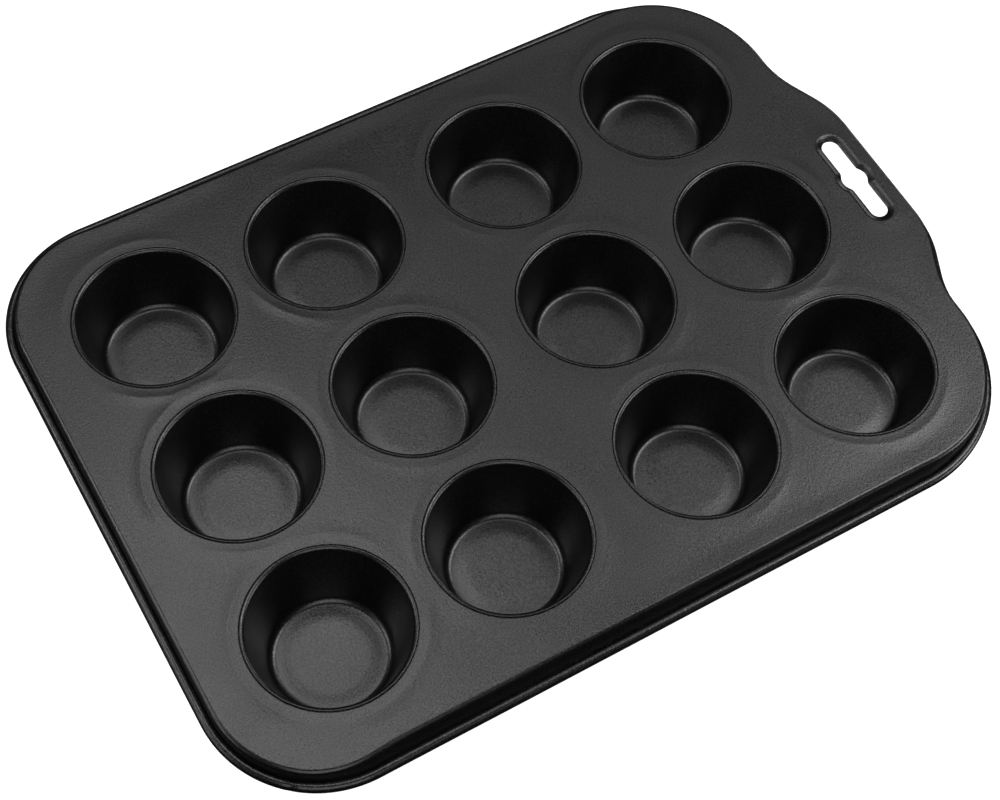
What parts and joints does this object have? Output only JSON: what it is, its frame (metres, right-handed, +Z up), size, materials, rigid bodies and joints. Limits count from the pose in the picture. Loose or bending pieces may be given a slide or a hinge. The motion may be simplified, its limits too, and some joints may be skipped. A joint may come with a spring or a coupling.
{
  "type": "muffin tin",
  "caption": "Rectangular mini muffin tin with tapered round cups, a flared skirt, a rolled rim and a hanging tab with a slot.",
  "frame": {"origin": "middle of the bounding box in plan, at the undersides of the cup floors, on which the tin stands", "axes": "+X along the tin's length towards the hanging tab, +Y across its width, +Z up out of the cups"},
  "size_m": [0.2614, 0.1924, 0.0214],
  "materials": {
    "nonstick_steel": "satin black non-stick coating with a fine orange-peel grain",
    "wire_steel": "plain drawn steel wire, hidden inside the rolled rim"
  },
  "bodies": {
    "root": {"deck": "nonstick_steel", "slot_flange": "nonstick_steel", "skirt": "nonstick_steel", "rolled_rim": "nonstick_steel", "rim_wire": "wire_steel", "cup_1_1": "nonstick_steel", "cup_1_2": "nonstick_steel", "cup_1_3": "nonstick_steel", "cup_1_4": "nonstick_steel", "cup_2_1": "nonstick_steel", "cup_2_2": "nonstick_steel", "cup_2_3": "nonstick_steel", "cup_2_4": "nonstick_steel", "cup_3_1": "nonstick_steel", "cup_3_2": "nonstick_steel", "cup_3_3": "nonstick_steel", "cup_3_4": "nonstick_steel"}
  },
  "joints": []
}
